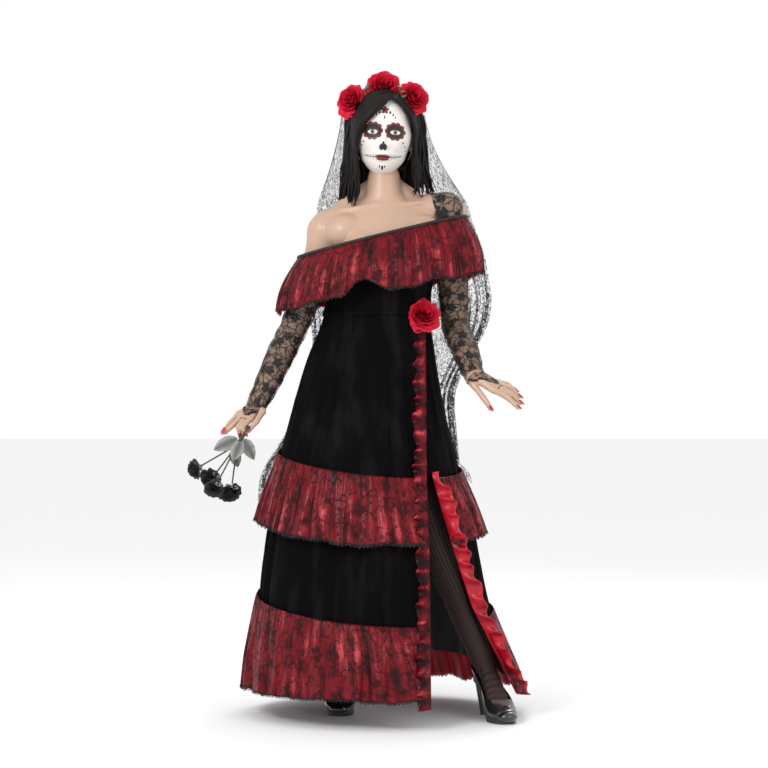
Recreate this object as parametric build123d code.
from build123d import *
import os
from math import radians, sin, cos

# Life-size papier-mache catrina display figure, dressed. Millimetres, +Z up, the figure faces -Y.
# Right and left are the figure's own. It is modelled round its own upright axis, standing on Z = 0,
# and the whole is moved at the end so that the origin lies under the middle of its box.

# ---- walls, cloth and fits ----
SHELL_WALL = 6.0          # layered paper of every body shell
CLOTH = 2.5               # dress cloth with its backing
LACE = 1.5                # lace of the sleeves and the veil
RUN_CLEARANCE = 0.05      # radial, between a turning peg and its bore
SEAT_GAP = 0.3            # between pieces that rest on each other and may move apart
SOFT_GAP = 1.0            # between hair or veil and the body that turns under it

# ---- armature ----
POST_RADIUS = 12.0        # spine post, wood
PEG_RADIUS = 16.0         # turned top of the spine post, which the head turns on
PEG_TOP = 1560.0
ROD_RADIUS = 5.0          # steel leg rods
ARM_ROD_RADIUS = 4.0
NUT_RADIUS = 11.0
NUT_HEIGHT = 8.0
BOARD_THICKNESS = 12.0    # plywood hip board and neck board
BAR_HEIGHT = 40.0         # shoulder bar
BAR_DEPTH = 24.0
HEAD_BLOCK_SIZE = 60.0    # wooden block in the head, bored for the peg
HEAD_BLOCK_BOTTOM = 1500.0
WRIST_PEG_RADIUS = 7.0
WRIST_PEG_REACH = 26.0    # into the hand
WRIST_PEG_ROOT = 30.0     # into the forearm

# ---- body shells ----
NECK_X, NECK_Y = 0.0, 12.0
NECK_RADIUS = 50.0
NECK_TOP = 1446.0
TORSO_BOTTOM = 770.0
# height, centre x, centre y, half width, half depth
TORSO = [
    (TORSO_BOTTOM, -35, 8, 158, 112),
    (860, -38, 10, 170, 118),
    (950, -32, 6, 152, 104),
    (1042, -18, 0, 116, 84),
    (1130, -8, -2, 124, 92),
    (1215, 2, -6, 142, 108),
    (1290, 6, 0, 150, 92),
    (1335, 8, 6, 128, 70),
    (1362, 6, 10, 84, 58),
    (1382, 2, 12, 56, 54),
    (1410, NECK_X, NECK_Y, NECK_RADIUS, NECK_RADIUS),
    (NECK_TOP, NECK_X, NECK_Y, NECK_RADIUS, NECK_RADIUS),
]
BUST_SECTION = TORSO[6]
WAIST_SEAM = 1068.0

# arms: points from the shoulder to the wrist, and the radius at each
RIGHT_ARM = [(-160, 0, 1290), (-174, 5, 1215), (-236, 22, 1048), (-290, -8, 930), (-338, -40, 824)]
LEFT_ARM = [(176, 2, 1336), (180, 8, 1250), (190, 20, 1057), (212, -70, 975), (235, -150, 904)]
ARM_RADII = [47, 43, 36, 34, 25]

# legs: points from the hip to the ankle, and the radius at each
RIGHT_LEG = [(-113, 6, 770), (-114, 4, 620), (-114, 6, 470), (-114, 38, 330), (-112, 74, 128)]
LEFT_LEG = [(45, 6, 770), (88, -40, 620), (132, -92, 478), (200, -78, 320), (270, -69, 128)]
LEG_RADII = [76, 66, 52, 48, 29]
# the shells are made in sections, glued at these heights and at the knees and elbows
ANKLE_CUT = 152.0
WAIST_CUT = 1042.0
NECK_CUT = 1362.0

# head: an egg on the neck
HEAD_CENTRE = (0.0, -6.0, 1548.0)
HEAD_HALF = (76.0, 96.0, 112.0)
NECK_ROOM = 14.0          # height of the recess under the head, over the neck's top

# hands: knuckle, middle joint and tip of each finger, thumb first
RIGHT_FINGERS = [
    [(-322, -66, 806), (-337, -86, 781), (-357, -97, 756)],
    [(-354, -76, 787), (-374, -98, 764), (-367, -95, 751)],
    [(-366, -72, 790), (-384, -92, 767), (-381, -84, 747)],
    [(-378, -64, 793), (-400, -74, 771), (-420, -78, 751)],
    [(-387, -52, 800), (-407, -54, 779), (-424, -54, 757)],
]
RIGHT_KNUCKLES = (-370, -64, 794)
LEFT_FINGERS = [
    [(236, -166, 874), (257, -186, 846), (276, -201, 816)],
    [(284, -186, 864), (318, -210, 846), (346, -226, 819)],
    [(292, -176, 871), (327, -197, 856), (353, -207, 831)],
    [(298, -163, 878), (329, -177, 869), (352, -182, 847)],
    [(298, -149, 884), (321, -155, 880), (342, -159, 863)],
]
LEFT_KNUCKLES = (291, -170, 873)
FINGER_RADII = [9.5, 8.0, 6.0]
WRIST_GAP = 0.6           # between the forearm's end and the hand

# ---- dress ----
# bodice and skirt: height, centre x, centre y, half width, half depth
BODICE_TOP = (BUST_SECTION[0], BUST_SECTION[1], BUST_SECTION[2],
              BUST_SECTION[3] + SEAT_GAP + CLOTH, BUST_SECTION[4] + SEAT_GAP + CLOTH)
BODICE = [
    (WAIST_SEAM, -19, 0, 142, 108),
    (1150, -8, -2, 140, 108),
    (1230, 3, -6, 152, 116),
    BODICE_TOP,
]
SKIRT_END = 30.0
SKIRT = [
    (SKIRT_END, 4, 0, 345, 318),
    (300, -26, 0, 311, 288),
    (500, -36, 0, 280, 252),
    (703, -43, 0, 236, 206),
    (837, -41, 0, 202, 170),
    (944, -34, 0, 175, 140),
    (WAIST_SEAM, -19, 0, 142, 108),
]
# the seams slope: height at the axis, rise per mm in x and in y
MID_SEAM = (672, -0.10, 0.14)
MID_HEM = (500, -0.05, 0.12)
LOW_SEAM = (300, -0.065, 0.13)
LINING_HEM = (110, -0.03, 0.10)
HEM = (58, -0.03, 0.05)
MID_FLARE = 24.0          # how far the folds of the middle flounce stand off the skirt at its hem
LOW_FLARE = 26.0
FLOUNCE_HEADING = 5.0     # thickness of the gathers at a flounce's seam

# the slit, seen from the front: x and z of its corners
SLIT_TOP = 640.0
SLIT_RIGHT_EDGE = [(104, SLIT_TOP), (110, 470), (112, 0)]
SLIT_LEFT_EDGE = [(132, SLIT_TOP), (180, 470), (236, 300), (330, 110), (400, 0)]
RUFFLE_WIDTH = 34.0       # of the frill along each edge of the slit
RUFFLE_TOP = 1035.0
RUFFLE_STAND = 14.0       # how far the frill stands out past the flounces
FRONT_OF = -25.0          # the slit and its frills lie in front of this y

# off-the-shoulder flounce: tilted ring at its elastic, and at its hem
ELASTIC_RING = (1270, -5, -5, 229, 117, 0.24)    # height, x, y, half width, half depth, rise in x
ELASTIC_HEIGHT = 12.0
BARDOT_RING = (1124, -8, -6, 278, 158, 0.19)
SLEEVE_EASE = 4.0         # the lace sleeve stands off the arm at the wrist by this much
CUFF_THICKNESS = 1.5

# ---- shoes, in their own frame: forward along u, heel tip at u = 0 ----
HEEL_TIP_RADIUS = 6.0
HEEL_TIP_HEIGHT = 7.0
HEEL_SEAT = 92.0          # height of the sole's underside over the heel
HEEL_TOP_RADIUS = 24.0
SOLE_THICKNESS = 5.0
SHOE_WALL = 3.0
# u, height, half width, half height of the foot's sections
FOOT = [
    (-22, 132, 12, 11.9),
    (4, 130, 29, 28.9),
    (48, 112, 29, 28.9),
    (92, 68, 33, 27),
    (128, 33, 38, 22),
    (158, 24, 33, 15),
    (184, 19, 12, 8),
]
TREAD = (118.0, 176.0)    # u where the sole leaves the floor behind the ball and at the toe
RIGHT_SHOE = (-112.0, 104.0, -2.0)    # x and y of the heel tip, and the turn of the toe in degrees
LEFT_SHOE = (262.0, -44.0, 19.0)

# ---- hair and crown ----
HAIR = 12.0               # thickness of the wig over the head
FACE_CUT = (-38.0, 1640.0)            # the wig is open in front of this y, below this height
BAND_RADIUS = 4.0
BAND_Y = -22.0
CROWN_ROSES = {           # centre, radius
    "crown_rose_right": ((-88, -30, 1638), 40),
    "crown_rose_centre": ((0, -34, 1676), 46),
    "crown_rose_left": ((80, -30, 1644), 41),
}
CROWN_PICKS = [(-44, -44, 1672), (-50, -48, 1662), (40, -50, 1668), (50, -50, 1656), (53, -54, 1645)]
PICK_RADIUS = 6.5
WAIST_ROSE = ((106, -84, 1064), 40)

# veil: height, centre x, centre y, half width, half depth of the curve that it hangs in
VEIL = [
    (560, 2, 120, 335, 232),
    (900, 6, 90, 300, 150),
    (1150, 16, 70, 262, 96),
    (1330, 28, 57, 214, 92),
    (1480, 6, 30, 152, 110),
    (1648, -2, 0, 116, 96),
]
VEIL_TOP_AT = -20.0       # the veil lies behind this y at its top

# ---- bouquet ----
PINCH = (-366.0, -99.0, 752.0)        # where the fingers hold the stems
BINDING_RADIUS = 5.0
BINDING_LENGTH = 60.0
STEM_RADIUS = 2.0
BOUQUET_ROSES = [         # centre, radius
    ((-502, -96, 653), 24),
    ((-458, -86, 626), 27),
    ((-446, -126, 604), 23),
    ((-404, -98, 590), 27),
]
BOUQUET_LEAVES = [        # stem that it grows on, share of the way down it, run to its tip, half width
    (0, 0.15, (-62, -10, -32), 19),
    (2, 0.15, (-18, -30, -52), 17),
    (3, 0.10, (26, 14, -56), 16),
    (1, 0.35, (10, 34, -46), 15),
]
LEAF_THICKNESS = 2.0

REACH = 4000.0            # larger than the figure, for trimming solids


# ---- helpers ----
def rings(sections, grow=0.0):
    """A solid through horizontal ellipses."""
    return loft([Pos(x, y, z) * Ellipse(a + grow, b + grow) for z, x, y, a, b in sections])


def frames(path):
    """Planes square to a path at each of its points."""
    points = [Vector(*p) for p in path]
    planes = []
    for i, point in enumerate(points):
        ahead = points[min(i + 1, len(points) - 1)] - points[max(i - 1, 0)]
        planes.append(Plane(origin=point, x_dir=ahead.cross(Vector(0, 1, 0)), z_dir=ahead))
    return planes


def limb(path, radii, grow=0.0):
    """A tapering round limb along a path."""
    return loft([plane * Circle(r + grow) for plane, r in zip(frames(path), radii)])


def below(height, slope_x=0.0, slope_y=0.0):
    """Everything under a plane that rises by those slopes."""
    plane = Plane(origin=(0, 0, height), x_dir=(1, 0, slope_x), z_dir=(-slope_x, -slope_y, 1))
    return plane * Box(REACH, REACH, REACH, align=(Align.CENTER, Align.CENTER, Align.MAX))


def in_front(y):
    """Everything in front of a plane square to Y."""
    return Pos(0, y, 0) * Box(REACH, REACH, REACH, align=(Align.CENTER, Align.MAX, Align.CENTER))


def front_prism(outline):
    """A prism over an outline in x and z, reaching forward from FRONT_OF."""
    return Pos(0, FRONT_OF, 0) * extrude(Plane.XZ * make_face(Polyline(*outline, close=True)), REACH / 4)


def strut(start, end, radius, end_radius=None):
    """A straight round bar or cone between two points."""
    a, b = Vector(*start), Vector(*end)
    plane = Plane(origin=a, z_dir=b - a)
    if end_radius is None:
        return Solid.make_cylinder(radius, (b - a).length, plane)
    return Solid.make_cone(radius, end_radius, (b - a).length, plane)


def ball(centre, radius):
    """A ball at a point."""
    return Pos(*centre) * Sphere(radius)


def egg(centre, half, grow=0.0):
    """An ellipsoid."""
    unit = 100.0
    return Pos(*centre) * scale(Sphere(unit), by=tuple((h + grow) / unit for h in half))


def along(start, end, distance):
    """The point at a distance from the end of a segment, going back to its start; negative goes past it."""
    a, b = Vector(*start), Vector(*end)
    return b - (b - a).normalized() * distance


def largest(shape):
    """The largest solid of a shape, without the crumbs of a cut."""
    return max(shape.solids(), key=lambda solid: solid.volume)


def cut_at(shape, heights):
    """A shell cut across into sections, from the lowest to the highest, which are glued end to end."""
    sections = []
    for height in sorted(heights):
        sections.append(largest(shape & below(height)))
        shape = largest(shape - below(height))
    return sections + [shape]


def joined(shapes):
    """Solids fused into one."""
    whole = shapes[0]
    for shape in shapes[1:]:
        whole = whole + shape
    return whole


# ---- body ----
def torso_solid(grow=0.0):
    return rings(TORSO, grow)


def shoulder_ends():
    """The middle of each shoulder."""
    return Vector(*RIGHT_ARM[0]), Vector(*LEFT_ARM[0])


def bar_solid():
    """The shoulder bar, tilted as the shoulders are."""
    right, left = shoulder_ends()
    plane = Plane(origin=(right + left) / 2, x_dir=left - right, z_dir=Vector(0, 1, 0))
    return plane * Box((left - right).length, BAR_HEIGHT, BAR_DEPTH)


def post_line():
    """The spine post's foot and its top under the neck board, both on the neck's own axis."""
    return (NECK_X, NECK_Y, TORSO_BOTTOM), (NECK_X, NECK_Y, NECK_TOP - BOARD_THICKNESS)


def arm_solid(path, grow=0.0):
    """An arm with its rounded shoulder."""
    return limb(path, ARM_RADII, grow) + ball(path[0], ARM_RADII[0] + grow)


def arm_shell(path, peg):
    """The paper shell of an arm, meeting the torso and hollow over its rod."""
    hollow = limb(path, ARM_RADII, -SHELL_WALL) + ball(path[0], ARM_RADII[0] - SHELL_WALL)
    shell = arm_solid(path) - hollow - torso_solid() - bar_solid() - peg
    return largest(shell)


def wrist_peg(path):
    """A turned peg with a flange let into the forearm's end; its free end carries the hand."""
    start, end = path[-2], path[-1]
    flange_root = along(start, end, WRIST_PEG_ROOT)
    tip = along(start, end, -WRIST_PEG_REACH)
    flange = strut(along(start, end, WRIST_PEG_ROOT / 2), end, ARM_RADII[-1] - SHELL_WALL / 2)
    return flange + strut(flange_root, tip, WRIST_PEG_RADIUS)


def arm_rod(path, peg):
    """Wire from the shoulder bar down to the wrist peg."""
    rod = limb(path[:-1] + [tuple(along(path[-2], path[-1], WRIST_PEG_ROOT))], [ARM_ROD_RADIUS] * len(path))
    return largest(rod - bar_solid() - peg)


def foot_solid(grow=0.0):
    """A foot on a high heel, in the shoe's own frame."""
    centres = [(0, -u, z) for u, z, w, h in FOOT]
    planes = frames(centres)
    return loft([
        Plane(origin=p.origin, x_dir=(1, 0, 0), z_dir=p.z_dir) * Ellipse(w + grow, h + grow)
        for p, (u, z, w, h) in zip(planes, FOOT)
    ])


def placed_shoe(shape, shoe):
    x, y, turn = shoe
    return Pos(x, y, 0) * Rot(0, 0, turn) * shape


def leg_shell(path, shoe, rod):
    """A leg with its foot; the leg is hollow down to the ankle."""
    solid = limb(path, LEG_RADII) + placed_shoe(foot_solid(), shoe)
    hollow = limb(path, LEG_RADII, -SHELL_WALL)
    return largest((solid - hollow - rod) & below(TORSO_BOTTOM))


def leg_rod(path, shoe):
    """Steel rod from above the hip board, down the leg and into the foot."""
    x, y, z = path[0]
    top = (x, y, z + BOARD_THICKNESS + 2 * NUT_HEIGHT)
    sole = placed_shoe(Pos(0, -FOOT[3][0], FOOT[3][1]) * Sphere(ROD_RADIUS), shoe).center()
    stops = [top, (x, y, z - 2 * NUT_HEIGHT)] + path[2:] + [tuple(sole)]
    bars = [strut(a, b, ROD_RADIUS) for a, b in zip(stops, stops[1:])]
    return joined(bars + [ball(p, ROD_RADIUS) for p in stops[1:-1]])


def rod_nuts():
    """A nut over and under the hip board on each leg rod."""
    nuts = []
    for path in (RIGHT_LEG, LEFT_LEG):
        x, y, z = path[0]
        for bottom in (z - NUT_HEIGHT, z + BOARD_THICKNESS):
            nut = extrude(RegularPolygon(NUT_RADIUS, 6), NUT_HEIGHT) - Cylinder(ROD_RADIUS, REACH)
            nuts.append(Pos(x, y, bottom) * nut)
    return nuts


def hand_solid(wrist, knuckles, fingers):
    """A palm with five jointed fingers."""
    hand = loft([
        frames([wrist, knuckles])[0] * Circle(ARM_RADII[-1] - 2),
        frames([wrist, knuckles])[1] * Circle(ARM_RADII[-1] - 6),
    ])
    for knuckle, middle, tip in fingers:
        r0, r1, r2 = FINGER_RADII
        root = tuple(Vector(*wrist) * 0.35 + Vector(*knuckle) * 0.65)
        hand = joined([
            hand, strut(root, knuckle, r0), ball(knuckle, r0), strut(knuckle, middle, r0, r1),
            ball(middle, r1), strut(middle, tip, r1, r2), ball(tip, r2),
        ])
    return hand


def bored_hand(path, knuckles, fingers):
    """A hand cut square at the wrist, with a running bore over the wrist peg."""
    start, end = path[-2], path[-1]
    face = along(start, end, -WRIST_GAP)
    forearm_side = strut(along(start, end, REACH / 8), face, ARM_RADII[-1] * 3)
    bore = strut(end, along(start, end, -WRIST_PEG_REACH - WRIST_GAP), WRIST_PEG_RADIUS + RUN_CLEARANCE)
    collar = strut(face, along(start, end, -WRIST_PEG_REACH - 6), ARM_RADII[-1] - 3)
    return largest((hand_solid(tuple(face), knuckles, fingers) + collar) - forearm_side - bore)


# ---- head and hair ----
def head_shell():
    """A hollow egg, open under the chin for the neck and filled round the wooden block."""
    neck_hole = Pos(NECK_X, NECK_Y, 0) * Cylinder(NECK_RADIUS + SOFT_GAP, 2 * (NECK_TOP + NECK_ROOM))
    shell = egg(HEAD_CENTRE, HEAD_HALF) - egg(HEAD_CENTRE, HEAD_HALF, -SHELL_WALL)
    return largest(shell - neck_hole)


def head_block():
    """The wooden block that turns on the peg, on a disc that is glued into the head."""
    block = Pos(NECK_X, NECK_Y, HEAD_BLOCK_BOTTOM) * Box(
        HEAD_BLOCK_SIZE, HEAD_BLOCK_SIZE, HEAD_BLOCK_SIZE + 20, align=(Align.CENTER, Align.CENTER, Align.MIN))
    slab = Pos(0, 0, HEAD_BLOCK_BOTTOM) * Box(
        REACH, REACH, BOARD_THICKNESS, align=(Align.CENTER, Align.CENTER, Align.MIN))
    disc = egg(HEAD_CENTRE, HEAD_HALF, -SHELL_WALL) & slab
    bore = Pos(NECK_X, NECK_Y, 0) * Cylinder(
        PEG_RADIUS + RUN_CLEARANCE, PEG_TOP + SEAT_GAP, align=(Align.CENTER, Align.CENTER, Align.MIN))
    return largest(block + disc - bore)


def wig_outer(grow=0.0):
    return egg(HEAD_CENTRE, HEAD_HALF, HAIR + grow)


def wig_cap():
    """The wig's cap: over the head, open at the face."""
    face_y, face_z = FACE_CUT
    cap = wig_outer() - egg(HEAD_CENTRE, HEAD_HALF)
    return largest(cap - (in_front(face_y) & below(face_z)) - below(HEAD_CENTRE[2] - HEAD_HALF[2] * 0.55))


def hair_falls():
    """The loose lengths of hair: down the back, and one at each side of the neck."""
    clear = torso_solid(SOFT_GAP) + arm_solid(LEFT_ARM, SOFT_GAP + LACE + SLEEVE_EASE)
    clear = clear + arm_solid(RIGHT_ARM, SOFT_GAP)
    back = rings([(1290, 0, 125, 84, 11), (1420, 0, 86, 92, 26), (1560, 0, 58, 84, 44)])
    right = rings([(1372, -96, 40, 17, 16.9), (1450, -88, 16, 20, 19.9), (1580, -76, 4, 20, 19.9)])
    left = rings([(1392, 92, -4, 24, 20), (1450, 92, 0, 24, 23.9), (1580, 78, 0, 20, 19.9)])
    right_fall = largest(right - wig_outer() - clear)
    left_fall = largest(left - wig_outer() - clear - headband())
    back_fall = largest(back - wig_outer() - egg(HEAD_CENTRE, HEAD_HALF, SOFT_GAP) - clear - right - left)
    return right_fall, left_fall, back_fall


def headband():
    """A bent band over the wig from ear to ear."""
    half_x, half_z = HEAD_HALF[0] + HAIR + BAND_RADIUS / 2, HEAD_HALF[2] + HAIR + BAND_RADIUS / 2
    plane = Plane(origin=(HEAD_CENTRE[0], BAND_Y, HEAD_CENTRE[2]), x_dir=(1, 0, 0), z_dir=(0, -1, 0))
    arc = plane * EllipticalCenterArc((0, 0), half_x, half_z, start_angle=0, arc_size=180)
    profile = Plane(origin=arc @ 0, z_dir=arc % 0) * Circle(BAND_RADIUS)
    return largest(sweep(profile, path=arc) - wig_outer())


def veil_solid(others):
    """The lace veil: a hanging curve behind the figure, clear of everything but the crown."""
    wall = rings(VEIL) - rings(VEIL, -LACE)
    top, bottom = VEIL[-1], VEIL[0]
    profile = [(VEIL_TOP_AT, top[0]), (VEIL_TOP_AT + 10, 1500), (30, 1400), (86, 1330), (86, bottom[0]),
               (REACH / 4, bottom[0]), (REACH / 4, top[0])]
    behind = Pos(-REACH / 4, 0, 0) * extrude(
        Plane.YZ * make_face(Polyline(*profile, close=True)), REACH / 2)
    veil = wall & behind
    for other in others:
        veil = veil - other
    return largest(veil)


# ---- dress ----
def skirt_cone(grow=0.0):
    return rings(SKIRT, grow)


def flared(seam, flare, until, grow=0.0):
    """The outer surface of a flounce: the skirt, standing further off towards its hem."""
    top, bottom = seam[0] + 80, until[0] - 40
    sections = []
    for part in range(4):
        share = part / 3
        z = bottom + (top - bottom) * share
        x, y, a, b = skirt_at(z)
        stand = FLOUNCE_HEADING + (flare - FLOUNCE_HEADING) * (1 - share)
        sections.append((z, x, y, a + stand, b + stand))
    return rings(sections, grow)


def skirt_at(z):
    """Centre and half sizes of the skirt at a height, between its sections."""
    for low, high in zip(SKIRT, SKIRT[1:]):
        if z <= high[0] or high is SKIRT[-1]:
            share = (z - low[0]) / (high[0] - low[0])
            return tuple(a + (b - a) * share for a, b in zip(low[1:], high[1:]))


def slit_outlines():
    """Outlines, from the front, of the slit and of the frill on each side of it."""
    right, left = SLIT_RIGHT_EDGE, SLIT_LEFT_EDGE
    slit = right + list(reversed(left))
    right_frill = [(right[0][0] - RUFFLE_WIDTH, RUFFLE_TOP), (right[0][0], RUFFLE_TOP)] + right
    right_frill += [(x - RUFFLE_WIDTH, z) for x, z in reversed(right)]
    left_frill = left + [(x + RUFFLE_WIDTH, z) for x, z in reversed(left)]
    return slit, right_frill, left_frill


def dress_skirt():
    """The skirt's panels, flounces, lining and frills, by name."""
    slit_outline, right_outline, left_outline = slit_outlines()
    slit, right_band, left_band = (front_prism(o) for o in (slit_outline, right_outline, left_outline))
    cone, inside = skirt_cone(), skirt_cone(-CLOTH)
    wall = (cone - inside) - slit
    front = in_front(0)
    upper = wall - below(*MID_SEAM)
    lower = (wall & below(*MID_SEAM)) - below(*LOW_SEAM)
    lining = (wall & below(*LOW_SEAM)) - below(*LINING_HEM)
    bands = slit + right_band + left_band
    mid = ((flared(MID_SEAM, MID_FLARE, MID_HEM) - cone) & below(*MID_SEAM)) - below(*MID_HEM) - bands
    low = ((flared(LOW_SEAM, LOW_FLARE, HEM) - cone) & below(*LOW_SEAM)) - below(*HEM) - bands
    standing = rings([(z, x, y, a + RUFFLE_STAND, b + RUFFLE_STAND) for z, x, y, a, b in SKIRT])
    frill = standing - cone
    right_frill = (frill & right_band) - below(*HEM)
    left_frill = (frill & left_band) - below(*HEM)
    return {
        "upper_skirt_front": [largest(upper & front)],
        "upper_skirt_back": [largest(upper - front)],
        "lower_skirt_front": solids_over(lower & front),
        "lower_skirt_back": [largest(lower - front)],
        "skirt_lining": solids_over(lining),
        "mid_flounce_front": solids_over(mid & front),
        "mid_flounce_back": [largest(mid - front)],
        "hem_flounce_front": solids_over(low & front),
        "hem_flounce_back": [largest(low - front)],
        "slit_frill_right": [largest(right_frill)],
        "slit_frill_left": [largest(left_frill)],
    }


def solids_over(shape, least=2000.0):
    """The solids of a shape that are more than crumbs."""
    return [solid for solid in shape.solids() if solid.volume > least]


def bodice():
    """The bodice's tube, cut out round the arms."""
    tube = rings(BODICE) - rings(BODICE, -CLOTH) - torso_solid(SEAT_GAP)
    return largest(tube - arm_solid(RIGHT_ARM, SEAT_GAP) - arm_solid(LEFT_ARM, SEAT_GAP))


def tilted_ring(ring, grow=0.0, lift=0.0):
    z, x, y, a, b, slope = ring
    plane = Plane(origin=(x, y, z + lift), x_dir=(1, 0, slope), z_dir=(-slope, 0, 1))
    return plane * Ellipse(a + grow, b + grow)


def bardot():
    """The off-the-shoulder flounce, and the elastic in its top edge, which rests on the arms."""
    flare = loft([tilted_ring(BARDOT_RING), tilted_ring(ELASTIC_RING)])
    inner = loft([tilted_ring(BARDOT_RING, -CLOTH), tilted_ring(ELASTIC_RING, -CLOTH)])
    flounce = flare - inner
    top = tilted_ring(ELASTIC_RING)
    elastic = extrude(top, ELASTIC_HEIGHT) - extrude(tilted_ring(ELASTIC_RING, -CLOTH), ELASTIC_HEIGHT)
    for path in (RIGHT_ARM, LEFT_ARM):
        flounce = flounce - arm_solid(path, 0.4 + LACE + SEAT_GAP)
        elastic = elastic - arm_solid(path, SEAT_GAP)
    return largest(flounce), solids_over(elastic, 300)


def sleeve(path, top):
    """A lace tube over an arm, from under the flounce to the wrist."""
    eases = [0.2, 0.4, 1.0, SLEEVE_EASE * 0.7, SLEEVE_EASE]
    outer = limb(path, [r + e + LACE for r, e in zip(ARM_RADII, eases)])
    inner = limb(path, [r + e for r, e in zip(ARM_RADII, eases)])
    tube = (outer - inner) - torso_solid(SEAT_GAP) - rings(BODICE, SEAT_GAP) - ball(path[0], ARM_RADII[0] + SEAT_GAP)
    return largest(tube & below(top))


def cuff(finger, hand):
    """The loop round a middle finger, which holds the sleeve's lace point over the hand."""
    knuckle, middle, tip = (Vector(*p) for p in finger)
    loop_at = knuckle * 0.7 + middle * 0.3
    r = FINGER_RADII[0]
    axis = Plane(origin=loop_at, z_dir=middle - knuckle)
    ring = axis * (Cylinder(r + SEAT_GAP + CUFF_THICKNESS, 5) - Cylinder(r - 2, 5))
    return largest(ring - hand)


# ---- shoes ----
def shoe_parts():
    """Upper, sole and heel of a pump, in the shoe's own frame."""
    foot = foot_solid()
    last = foot_solid(SHOE_WALL)
    topline = [(40, 176), (-8, 118), (-70, 82), (-112, 56), (-140, 58), (-400, 60), (-400, -50), (200, -50), (200, 176)]
    covered = Pos(-REACH / 4, 0, 0) * extrude(Plane.YZ * make_face(Polyline(*topline, close=True)), REACH / 2)
    upper = largest((last - foot) & covered & (Pos(0, 0, 0) * Box(
        REACH, REACH, REACH, align=(Align.CENTER, Align.CENTER, Align.MIN))))
    heel_back, toe = 26, FOOT[-1][0] + 14
    start, stop = TREAD
    side = [(heel_back, HEEL_SEAT + 3), (-18, HEEL_SEAT - 4), (-start + 34, 26), (-start, 0), (-stop, 0), (-toe, 8),
            (-toe, 16), (-start + 8, 24), (-78, 60), (-22, HEEL_SEAT + 16), (heel_back, HEEL_SEAT + 16)]
    profile = Pos(-REACH / 4, 0, 0) * extrude(Plane.YZ * make_face(Polyline(*side, close=True)), REACH / 2)
    plan = loft([Plane(origin=(0, -u, 60), x_dir=(1, 0, 0), z_dir=(0, -1, 0)) * Rectangle(2 * w - 4, 200)
                 for u, z, w, h in [FOOT[0], FOOT[1], FOOT[2], FOOT[3], FOOT[4], FOOT[5], (186, 19, 14, 8)]])
    sole = largest((profile & plan) - last)
    post = strut((0, 0, HEEL_TIP_HEIGHT), (0, -4, HEEL_SEAT + 14), HEEL_TIP_RADIUS, HEEL_TOP_RADIUS)
    heel = largest(post - sole - last)
    tip = strut((0, 0, 0), (0, 0, HEEL_TIP_HEIGHT), HEEL_TIP_RADIUS)
    return upper, sole, [heel, tip]


# ---- flowers ----
def bouquet_stems():
    """Four wired stems, bound together where the hand holds them."""
    grip = Vector(*PINCH)
    spread = sum((Vector(*c) for c, r in BOUQUET_ROSES), Vector(0, 0, 0)) / len(BOUQUET_ROSES)
    down = (spread - grip).normalized()
    top, bottom = grip - down * (BINDING_LENGTH * 0.35), grip + down * (BINDING_LENGTH * 0.65)
    stems = [strut(tuple(top), tuple(bottom), BINDING_RADIUS), ball(tuple(bottom), BINDING_RADIUS)]
    for centre, radius in BOUQUET_ROSES:
        stems.append(strut(tuple(bottom), along(tuple(bottom), centre, radius), STEM_RADIUS))
    return joined(stems), down, tuple(bottom)


def leaf(base, tip, half_width):
    """A flat pointed leaf."""
    a, b = Vector(*base), Vector(*tip)
    length = (b - a).length
    plane = Plane(origin=a, x_dir=b - a, z_dir=(b - a).cross(Vector(0, 0.4, 1)).cross(b - a))
    side = [(0, 1), (length * 0.2, half_width * 0.7), (length * 0.45, half_width), (length * 0.75, half_width * 0.6)]
    other = [(x, -y) for x, y in reversed(side)]
    return extrude(plane * make_face(Polyline(*side, (length, 0), *other, close=True)), LEAF_THICKNESS)


def bouquet_leaves(root):
    """The leaves, each standing on its stem; root is where the stems part."""
    leaves = []
    for stem, share, run, half_width in BOUQUET_LEAVES:
        base = Vector(*root) * (1 - share) + Vector(*BOUQUET_ROSES[stem][0]) * share
        leaves.append(leaf(tuple(base), tuple(base + Vector(*run)), half_width))
    return leaves


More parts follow.
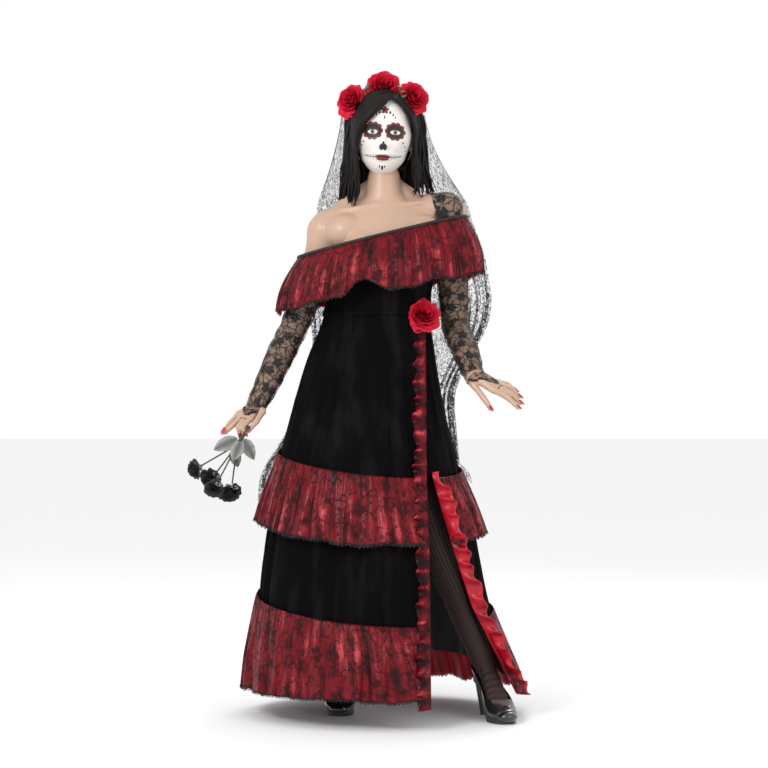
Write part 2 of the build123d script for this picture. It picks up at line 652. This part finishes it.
def build():
    """All nodes by name, each a list of solids."""
    nodes = {}
    right_shoe_upper, sole, heel = shoe_parts()
    for side, shoe, path in (("right", RIGHT_SHOE, RIGHT_LEG), ("left", LEFT_SHOE, LEFT_LEG)):
        upper = placed_shoe(right_shoe_upper, shoe) - limb(path, LEG_RADII, SEAT_GAP)
        nodes[f"{side}_shoe_upper"] = [largest(upper)]
        nodes[f"{side}_shoe_sole"] = [placed_shoe(sole, shoe)]
        nodes[f"{side}_shoe_heel"] = [placed_shoe(solid, shoe) for solid in heel]
    for side, path, shoe in (("right", RIGHT_LEG, RIGHT_SHOE), ("left", LEFT_LEG, LEFT_SHOE)):
        rod = leg_rod(path, shoe)
        nodes[f"{side}_leg_rod"] = [rod]
        knee = path[2][2]
        nodes[f"{side}_leg_shell"] = cut_at(leg_shell(path, shoe, joined([rod] + rod_nuts())), [ANKLE_CUT, knee])
    nodes["rod_nuts"] = rod_nuts()

    foot, head = post_line()
    bar = bar_solid()
    torso_room = torso_solid(-SHELL_WALL)
    board_slab = Pos(0, 0, TORSO_BOTTOM) * Box(REACH, REACH, BOARD_THICKNESS,
                                               align=(Align.CENTER, Align.CENTER, Align.MIN))
    hip_board = torso_room & board_slab
    for path in (RIGHT_LEG, LEFT_LEG):
        x, y, z = path[0]
        hip_board = hip_board - Pos(x, y, z) * Cylinder(ROD_RADIUS, REACH)
    peg_foot = NECK_TOP - BOARD_THICKNESS
    post = strut((NECK_X, NECK_Y, TORSO_BOTTOM + BOARD_THICKNESS), (NECK_X, NECK_Y, peg_foot), POST_RADIUS)
    post = post + strut((NECK_X, NECK_Y, peg_foot), (NECK_X, NECK_Y, PEG_TOP), PEG_RADIUS)
    neck_slab = Pos(0, 0, peg_foot) * Box(REACH, REACH, BOARD_THICKNESS,
                                          align=(Align.CENTER, Align.CENTER, Align.MIN))
    neck_board = torso_room & neck_slab
    nodes["spine_post"] = [post]
    nodes["shoulder_bar"] = [largest(bar - post)]
    nodes["hip_board"] = [largest(hip_board)]
    nodes["neck_board"] = [largest(neck_board - post)]
    nodes["torso_shell"] = cut_at(largest(torso_solid() - torso_room - bar), [WAIST_CUT, NECK_CUT])

    hands = {}
    for side, path, knuckles, fingers in (("right", RIGHT_ARM, RIGHT_KNUCKLES, RIGHT_FINGERS),
                                          ("left", LEFT_ARM, LEFT_KNUCKLES, LEFT_FINGERS)):
        peg = wrist_peg(path)
        nodes[f"{side}_wrist_peg"] = [peg]
        nodes[f"{side}_arm_rod"] = [arm_rod(path, peg)]
        elbow = path[2][2]
        nodes[f"{side}_arm_shell"] = cut_at(arm_shell(path, peg), [elbow])
        hands[side] = bored_hand(path, knuckles, fingers)

    stems, draw, root = bouquet_stems()
    grip = Vector(*PINCH)
    hands["right"] = largest(hands["right"] - strut(
        tuple(grip - draw * BINDING_LENGTH), tuple(grip + draw * BINDING_LENGTH), BINDING_RADIUS + SEAT_GAP))
    nodes["right_hand"], nodes["left_hand"] = [hands["right"]], [hands["left"]]
    nodes["right_cuff_loop"] = [cuff(RIGHT_FINGERS[2], hands["right"])]
    nodes["left_cuff_loop"] = [cuff(LEFT_FINGERS[2], hands["left"])]

    nodes["bouquet_stems"] = [stems]
    nodes["bouquet_roses"] = [ball(c, r).solid() for c, r in BOUQUET_ROSES]
    leaves = []
    for blade in bouquet_leaves(root):
        leaves.append(largest(blade - stems))
    nodes["bouquet_leaves"] = leaves

    nodes["head_shell"] = [head_shell()]
    nodes["head_block"] = [head_block()]
    nodes["wig_cap"] = [wig_cap()]
    for name, fall in zip(("hair_right_fall", "hair_left_fall", "hair_back_fall"), hair_falls()):
        nodes[name] = [fall]
    band = headband()
    nodes["headband"] = [band]
    crown = []
    for name, (centre, radius) in CROWN_ROSES.items():
        rose = ball(centre, radius) - wig_outer() - band
        for earlier in crown:
            rose = rose - earlier
        crown.append(ball(centre, radius))
        nodes[name] = [largest(rose)]
    picks = joined([ball(p, PICK_RADIUS) for p in CROWN_PICKS]) - wig_outer() - band
    for rose in crown:
        picks = picks - rose
    nodes["crown_picks"] = solids_over(picks, 60)

    nodes.update(dress_skirt())
    nodes["bodice"] = [bodice()]
    flounce, elastic = bardot()
    nodes["bardot_flounce"] = [flounce]
    nodes["bardot_elastic"] = elastic
    nodes["right_sleeve"] = [sleeve(RIGHT_ARM, 1205)]
    left_sleeve = sleeve(LEFT_ARM, 1262)
    nodes["left_sleeve"] = [left_sleeve]
    centre, radius = WAIST_ROSE
    nodes["waist_rose"] = [largest(ball(centre, radius) - rings(BODICE) - skirt_cone() - front_prism(
        slit_outlines()[1]))]
    obstacles = [wig_outer(), crown[0], crown[2], arm_solid(LEFT_ARM, LACE + SLEEVE_EASE + SOFT_GAP),
                 arm_solid(RIGHT_ARM, LACE + SOFT_GAP), band]
    nodes["veil"] = [veil_solid(obstacles)]
    return nodes


nodes = build()
box = Compound(children=[Compound(children=solids) for solids in nodes.values()]).bounding_box()
shift = Pos(-box.center().X, -box.center().Y, -box.min.Z)
os.makedirs("parts", exist_ok=True)
for name, solids in nodes.items():
    export_step(shift * Compound(children=solids), f"parts/{name}.step")
print("moved by", -box.center().X, -box.center().Y, -box.min.Z)
print("size", box.size)
